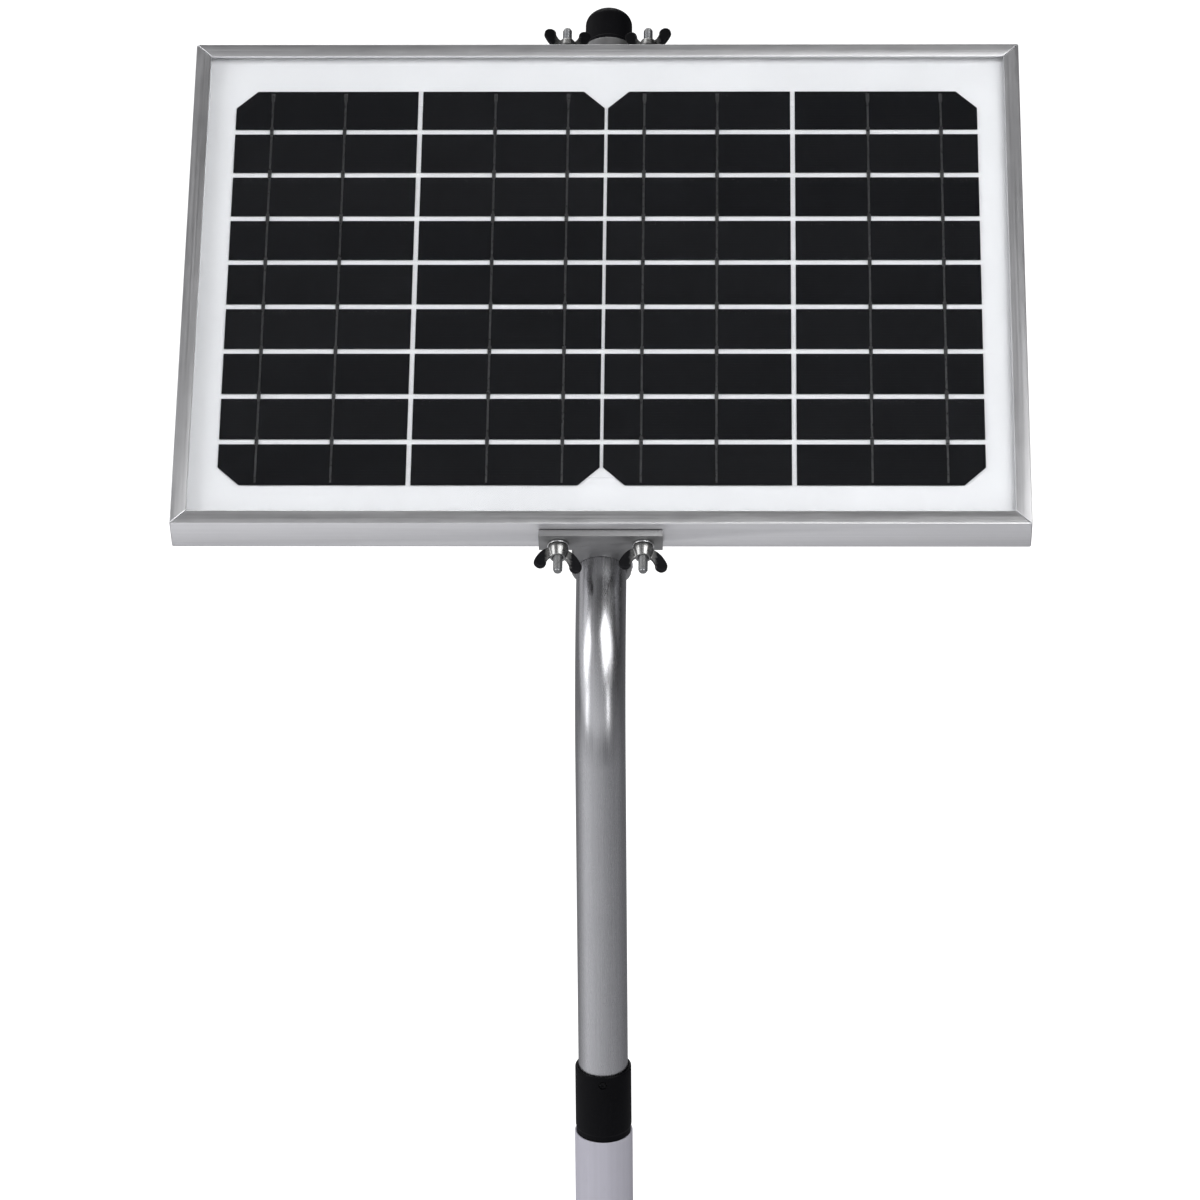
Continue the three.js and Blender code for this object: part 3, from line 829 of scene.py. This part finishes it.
def make_end_cap():
    """The domed cap, with a shallow recess on top and a plug inside the tube."""
    plug_radius = MAST_RADIUS - MAST_WALL - 0.2
    profile = rounded(
        [
            (0, -CAP_PLUG),
            (plug_radius - 1, -CAP_PLUG),
            (plug_radius, 1 - CAP_PLUG),
            (plug_radius, 0, 0),
            (CAP_RADIUS, 0, 0.3),
            (CAP_RADIUS, 2.4, 0.3),
            (CAP_RADIUS - 0.25, 2.7, 0.2),
            (CAP_RADIUS - 0.35, CAP_HEIGHT - 3.6, 4.5),
            (CAP_RADIUS - 3.6, CAP_HEIGHT - 0.25, 4.5),
            (2.0, CAP_HEIGHT - 0.1, 0.4),
            (1.6, CAP_HEIGHT - 0.5, 0.3),
            (0, CAP_HEIGHT - 0.5),
        ],
        0.3,
        closed=False,
        steps=8,
    )
    axes = standing(0, cap_base, 0)
    piece("end_cap", tower(profile, 96), axes, PLASTIC, "mast", ["mast_cap"])


# ---- Panel frame and laminate ----


def make_rail(side, degrees):
    """One rail of the frame. Degrees turn the length of the bottom rail to this rail's."""
    node = f"rail_{side}"
    rail = soften(from_node(node), 0.32 * MM, 3)
    axes = SLOPE @ turn(degrees, "Z") @ turn(90, "Y")  # Z along the rail
    piece(f"frame_{side}", rail, axes, RAIL, "panel", [node], metres=True)


def cell_outline(left, bottom, cut_left, at_bottom, at_top):
    """A half cell's outline. Its wafer's corners are cut off at the ends of its string."""
    outer = left if cut_left else left + CELL_WIDTH
    inner = left + CELL_WIDTH if cut_left else left
    step = CELL_CORNER if cut_left else -CELL_CORNER
    top = bottom + CELL_HEIGHT
    points = [(inner, bottom)]
    points += [(outer + step, bottom), (outer, bottom + CELL_CORNER)] if at_bottom else [(outer, bottom)]
    points += [(outer, top - CELL_CORNER), (outer + step, top)] if at_top else [(outer, top)]
    return points + [(inner, top)]


cell_back = depth_at(CELL_DEPTH)
cell_base = CELL_BASE - HALF_HEIGHT


def store_tones(mesh, column):
    """Gives each cell of a string its own tone, from 0 to 1."""
    inverse = SLOPE.inverted()
    tones = []
    for vertex in mesh.vertices:
        height = (inverse @ vertex.co).y / MM - cell_base
        row = round((height - CELL_HEIGHT / 2) / ROW_PITCH)
        tones.append(((row * 7 + column * 5 + row * column * 3) % 11) / 10)
    mesh.attributes.new("tone", "FLOAT", "POINT").data.foreach_set("value", tones)


def make_cells(column, left, cut_left):
    """One string of cells, in a row up the panel."""
    outlines = []
    for row in range(CELL_ROWS):
        bottom = cell_base + row * ROW_PITCH
        outlines.append(cell_outline(left, bottom, cut_left, row == 0, row == CELL_ROWS - 1))
    wafers = plates(outlines, cell_back, cell_back + CELL_THICKNESS)
    covers = [f"cell_string_{column + 1}"]
    cells = piece(f"cells_{column + 1}", wafers, SLOPE, CELL, "panel", covers)
    store_tones(cells.data, column)


def make_ribbons(column, left, cut_left):
    """Two ribbons up each cell of a string, each wider at its upper end, where the next cell begins."""
    narrow = 0.45
    wide = 0.8
    inset = 1.2  # from a cell's edges
    strips = []
    for share in (0.2, 0.6) if cut_left else (0.4, 0.8):
        middle = left + share * CELL_WIDTH
        for row in range(CELL_ROWS):
            low = cell_base + row * ROW_PITCH + inset
            high = low + ROW_PITCH if row < CELL_ROWS - 1 else low + CELL_HEIGHT - 2 * inset
            side = [(narrow, low + 0.04), (narrow, high - 5.2), (wide, high - 3.6), (wide, high)]
            right_side = [(middle + x, y) for x, y in side]
            left_side = [(middle - x, y) for x, y in reversed(side)]
            strips.append(right_side + left_side)
    back = cell_back + CELL_THICKNESS + 0.01
    piece(f"ribbons_{column + 1}", plates(strips, back, back + 0.05), SLOPE, SHADED_RIBBON, "panel")


def make_strings():
    """Four strings of cells, in two pairs. Each string's outer wafer corners are cut."""
    middle = BLOCK_GAP / 2
    far = CELL_WIDTH + PAIR_GAP
    lefts = [-middle - CELL_WIDTH - far, -middle - CELL_WIDTH, middle, middle + far]
    for column, left in enumerate(lefts):
        cut_left = column % 2 == 0
        make_cells(column, left, cut_left)
        make_ribbons(column, left, cut_left)


# ---- Brackets, studs and wing nuts ----


def make_bracket(end, face, outward):
    """A plate on the frame's edge, with its sleeve round the mast, the weld between them and a set screw."""
    plate_low = face + (GAP if outward > 0 else -GAP - PLATE)
    sleeve_base = plate_low + PLATE + GAP
    node = f"bracket_plate_{end}"
    plate = soften(from_node(node), 0.45 * MM, 3)
    axes = SLOPE @ turn(90, "Y")
    piece(f"bracket_{end}", plate, axes, SHADED_PLATE_METAL, "panel", [node], metres=True)

    # The set screw is at the back, which is +Y in the sleeve's frame.
    sleeve_axes = standing(0, sleeve_base, 0)
    hole = cross_hole(2.3, SLEEVE_HEIGHT / 2, -90)
    sleeve = tower(tube_rings(MAST_BORE, SLEEVE_RADIUS, 0, SLEEVE_HEIGHT, 0.5), 96, closed=True)
    piece(
        f"sleeve_{end}", sleeve, sleeve_axes, SHADED_PLATE_METAL, "panel",
        [f"mast_sleeve_{end}"], cutter=hole,
    )
    weld_axes = standing(0, sleeve_base - 0.35, 0)
    weld_bead(f"sleeve_weld_{end}", weld_axes, SLEEVE_RADIUS - 0.3, 0.9, 30, "panel")
    screw_axes = sleeve_axes @ shift(0, 0, SLEEVE_HEIGHT / 2) @ turn(-90, "X")
    socket_screw(
        f"sleeve_screw_{end}", screw_axes, 2.0, MAST_BORE + 0.05, SLEEVE_RADIUS + 1, BLACK_OXIDE, "panel",
        [f"sleeve_set_screw_{end}"],
    )


def threaded_stud():
    """A hexagon-headed stud along Z with a rolled thread. Z is 0 at the rail's outer face."""
    inside = RAIL_SKIN + GAP
    head_half_width = 3.2
    head_height = 2.8
    pitch = 0.7
    thread_depth = 0.36
    point_length = 0.9
    point_drop = 0.55
    sides = 32
    head_rings = [
        (head_half_width, -inside - head_height, hex_shape),
        (head_half_width, -inside, hex_shape),
    ]
    head = soften(tower(head_rings, 24), 0.25, 2, 25)
    start = -inside + 0.05
    steps = int((STUD_LENGTH - start) / pitch * 8)
    loops = []
    for k in range(steps + 1):
        z = start + (STUD_LENGTH - start) * k / steps
        taper = max(0.0, (z - (STUD_LENGTH - point_length)) / point_length)
        loop = []
        for i in range(sides):
            wave = abs(((z / pitch - i / sides) % 1.0) * 2 - 1)
            radius = STUD_RADIUS - thread_depth * wave * (1 - taper) - point_drop * taper
            angle = TAU * i / sides
            loop.append((radius * math.cos(angle), radius * math.sin(angle), z))
        loops.append(loop)
    return merge(head, skin(loops))


def cast_nut(name, node, axes):
    """A wing nut with the soft edges of a casting, from the CAD solid. Its node is named after its body."""
    nut = piece(name, from_node(node), axes, CAST_ZINC, node, [node], metres=True)
    shell = nut.modifiers.new("cast", "REMESH")
    shell.mode = "VOXEL"
    shell.voxel_size = 0.22 * MM
    shell.use_smooth_shade = True
    relax = nut.modifiers.new("relax", "SMOOTH")
    relax.factor = 0.5
    relax.iterations = 7
    applied(nut)
    dress(nut.data, axes, CAST_ZINC)


def make_fastening(end, side, face, outward):
    """One stud through the frame and the bracket plate, with its washer and wing nut."""
    key = f"{end}_{side}"
    x = (STUD_SPACING if side == "right" else -STUD_SPACING) / 2
    axes = standing(x, face, depth_at(STUD_DEPTH), outward)
    stud_node = [f"stud_bolt_{key}"]
    piece(f"stud_{key}", threaded_stud(), axes, ZINC, "panel", stud_node, sharp=50)
    low = GAP + PLATE + GAP
    washer = tower(tube_rings(STUD_RADIUS + 0.3, 4.5, low, low + 0.8, 0.2), 64, closed=True)
    piece(f"flat_washer_{key}", washer, axes, BRIGHT_ZINC, "panel", [f"washer_{key}"])
    cast_nut(f"nut_{key}", f"wing_nut_{key}", axes)


# ---- Junction box ----

box_frame = SLOPE @ shift(BOX_X, BOX_Y, depth_at(LAMINATE_DEPTH) - GAP)


def make_box():
    """The box and its lid on the backsheet, with a screw in each corner of the lid."""
    for node, name, width in (("junction_box_base", "box_base", 0.7), ("junction_box_lid", "box_lid", 0.45)):
        shell = soften(from_node(node), width * MM, 3)
        piece(name, shell, box_frame, BOX_PLASTIC, "panel", [node], metres=True)
    lid_face = -(BOX_DEPTH + GAP + GASKET + GAP + BOX_LID)
    for number, (right, up) in enumerate(((-1, -1), (1, -1), (1, 1), (-1, 1)), start=1):
        axes = box_frame @ shift(right * LID_SCREW_X, up * LID_SCREW_Y, lid_face) @ turn(180, "X")
        socket_screw(f"lid_screw_{number}", axes, 2.3, -0.6, 1.3, ZINC, "panel")


def make_gland():
    """The cable gland: a threaded stem with a hexagon on it, and the fluted dome nut."""
    axes = box_frame @ shift(0, -BOX_HEIGHT / 2, -(BOX_DEPTH + BOX_WALL) / 2) @ turn(90, "X")
    tube = tower(rounded([(2.6, -7), (5.0, -7), (5.0, 12), (2.6, 12)], 0.3), 72, closed=True)
    flats = tower([(4.6, GAP), (6.3, GAP, hex_shape), (6.3, 4, hex_shape), (4.6, 4)], 72, closed=True)
    stem = merge(tube, soften(flats, 0.2, 2, 40))
    piece("gland_stem", stem, axes, BOX_PLASTIC, "panel", ["gland_body"])
    dome_rings = [
        (5.3, 4.4),
        (6.5, 4.4),
        (6.8, 4.8, fluted_shape),
        (6.8, 8.5, fluted_shape),
        (6.75, 12.4, fluted_shape),
        (6.4, 13.4),
        (5.6, 15.2),
        (4.7, 16.6),
        (4.2, 17),
        (2.95, 17),
        (2.8, 16.8),
        (2.8, 15),
        (5.3, 13),
    ]
    dome = tower(dome_rings, 144, closed=True)
    piece("gland_dome", dome, axes, BOX_PLASTIC, "panel", ["gland_dome_nut"], sharp=40)


# ---- CAD nodes that stay in the picture ----


def dress_cad_nodes():
    """Gives each CAD node that nothing replaces its material."""
    corners = ("bottom_left", "bottom_right", "top_right", "top_left")
    looks = [
        (GLASS, ["glass_cover"]),
        (FILM, ["backsheet"]),
        (SEAL, ["laminate_seal"]),
        (RUBBER, ["junction_box_gasket", "gland_seal", "blocking_diode", "gland_lock_nut"]),
        (BRASS, ["terminal_positive", "terminal_negative"]),
        (WHITE_BUS, ["bus_ribbon_top_left", "bus_ribbon_bottom", "bus_ribbon_top_right"]),
        (KEY_METAL, [f"corner_key_{corner}" for corner in corners]),
    ]
    for material, nodes in looks:
        for node in nodes:
            for holder in NODES[node].material_slots:
                holder.material = material


# ---- Floor, light and camera ----

FLOOR_REACH = 60.0  # metres
FLOOR_DROP = 0.0005


def floor_material():
    """White to the camera. Other rays see paper that darkens to the right and to the back."""
    r = new_recipe("studio_floor")
    seen = r.add("ShaderNodeLightPath").outputs["Is Camera Ray"]
    spot = r.add("ShaderNodeSeparateXYZ", {"Vector": r.here()})
    side = r.spread(spot.outputs["X"], 0.0, 1.0, -1.4, 1.3)
    tone = r.blend(side, (0.8, 0.8, 0.815), (0.32, 0.32, 0.33))
    tone = r.blend(r.spread(spot.outputs["Y"], 0.0, 0.8, -0.3, 1.0), tone, (0.15, 0.15, 0.155))
    matt = r.add("ShaderNodeBsdfDiffuse", {"Color": tone}).outputs[0]
    lift = r.add("ShaderNodeEmission", {"Color": tone, "Strength": 0.4}).outputs[0]
    paper = r.add("ShaderNodeAddShader", {0: matt, 1: lift}).outputs[0]
    white = r.add("ShaderNodeBsdfDiffuse", {"Color": (0.5, 0.5, 0.5, 1)}).outputs[0]
    glow = r.add("ShaderNodeEmission", {"Color": (1, 1, 1, 1), "Strength": 0.98}).outputs[0]
    bright = r.add("ShaderNodeAddShader", {0: white, 1: glow}).outputs[0]
    return r.finish(r.add("ShaderNodeMixShader", {0: seen, 1: paper, 2: bright}).outputs[0])


def studio_floor():
    """A wide flat floor just below the spike's point."""
    level = CAD_BOX[0].z - FLOOR_DROP
    corners = [(-1, -1), (1, -1), (1, 1), (-1, 1)]
    mesh = bpy.data.meshes.new("floor")
    mesh.from_pydata([(x * FLOOR_REACH, y * FLOOR_REACH, level) for x, y in corners], [], [(0, 1, 2, 3)])
    mesh.materials.append(floor_material())
    floor = bpy.data.objects.new("floor", mesh)
    bpy.context.scene.collection.objects.link(floor)


def studio_world():
    """White to the camera. Other rays see a sky that is brighter on the left, in front and low down."""
    world = bpy.data.worlds.new("studio")
    r = Recipe(world)
    spot = r.add("ShaderNodeTexCoord").outputs["Generated"]
    brighter = (-0.62, -0.42, -0.66)
    lean = r.add("ShaderNodeVectorMath", {0: spot, 1: brighter}, operation="DOT_PRODUCT").outputs["Value"]
    inputs = {"Value": lean, "From Min": -0.9, "From Max": 0.9, "To Min": 0.04, "To Max": 0.95}
    strength = r.add("ShaderNodeMapRange", inputs, interpolation_type="SMOOTHSTEP").outputs["Result"]
    seen = r.add("ShaderNodeLightPath").outputs["Is Camera Ray"]
    dim = r.add("ShaderNodeBackground", {"Color": (0.98, 0.98, 1, 1), "Strength": strength}).outputs[0]
    white = r.add("ShaderNodeBackground", {"Color": (1, 1, 1, 1)}).outputs[0]
    mixed = r.add("ShaderNodeMixShader", {0: seen, 1: dim, 2: white}).outputs[0]
    bpy.context.scene.world = r.finish(mixed, "ShaderNodeOutputWorld")


def lamp(name, azimuth, elevation, distance, size, power, aim=(0, 0.1, 0.6)):
    """A soft white area light. The angles are in degrees, and the camera doesn't see it."""
    data = bpy.data.lights.new(name, "AREA")
    data.shape = "RECTANGLE"
    data.size = size[0]
    data.size_y = size[1]
    data.energy = power
    obj = bpy.data.objects.new(name, data)
    back = towards(math.radians(azimuth), math.radians(elevation))
    obj.location = Vector(aim) + back * distance
    obj.rotation_euler = (-back).to_track_quat("-Z", "Y").to_euler()
    obj.visible_camera = False
    bpy.context.scene.collection.objects.link(obj)


def studio_lamps():
    lamp("left_low", -57, 8, 2.2, (0.5, 0.8), 2.5)
    lamp("left_box", -76, 32, 2.2, (0.9, 1.1), 9.5)
    lamp("right_low", 36, 14, 2.2, (0.4, 0.9), 2.6)
    lamp("right_box", 64, 44, 2.2, (0.6, 1.0), 4)
    lamp("key", 44, 58, 1.7, (0.85, 1.1), 11, (0, -0.05, 0.6))
    lamp("back", 186, 34, 2.8, (1.8, 1.0), 16)


CAMERA_AZIMUTH = math.radians(1.26)
CAMERA_ELEVATION = math.radians(26.0)
CAMERA_ROLL = math.radians(-0.51)
CAMERA_DISTANCE = 2.728  # metres
CAMERA_SENSOR = 36.0
CAMERA_LENS = 200.1
CAMERA_AIM = (0, -19.2, -25.6)  # from the middle of the panel's lower front edge


def place_camera():
    """A long lens in front of the panel, a little above it."""
    back = towards(CAMERA_AZIMUTH, CAMERA_ELEVATION)
    level = Vector((math.cos(CAMERA_AZIMUTH), math.sin(CAMERA_AZIMUTH), 0))
    upward = back.cross(level)
    right = level * math.cos(CAMERA_ROLL) + upward * math.sin(CAMERA_ROLL)
    up = upward * math.cos(CAMERA_ROLL) - level * math.sin(CAMERA_ROLL)
    lower_edge = SLOPE @ (Vector((0, -HALF_HEIGHT, FRONT_FACE)) * MM)
    spot = lower_edge + Vector(CAMERA_AIM) * MM + back * CAMERA_DISTANCE
    data = bpy.data.cameras.new("camera")
    data.sensor_width = CAMERA_SENSOR
    data.lens = CAMERA_LENS
    data.clip_start = 0.05
    data.clip_end = 200.0
    camera = bpy.data.objects.new("camera", data)
    camera.matrix_world = Matrix.Translation(spot) @ Matrix((right, up, back)).transposed().to_4x4()
    bpy.context.scene.collection.objects.link(camera)
    bpy.context.scene.camera = camera


# ---- The object and its studio ----

make_post()
make_tread()
make_spike()
make_tread_weld()
make_collar()
make_mast()
make_end_cap()
for side, degrees in (("bottom", 0), ("right", 90), ("top", 180), ("left", 270)):
    make_rail(side, degrees)
make_strings()
for end, outward in (("top", 1), ("bottom", -1)):
    face = outward * HALF_HEIGHT
    make_bracket(end, face, outward)
    for side in ("left", "right"):
        make_fastening(end, side, face, outward)
make_box()
make_gland()
dress_cad_nodes()

studio_floor()
studio_world()
studio_lamps()
bpy.context.scene.view_settings.view_transform = "Standard"
place_camera()
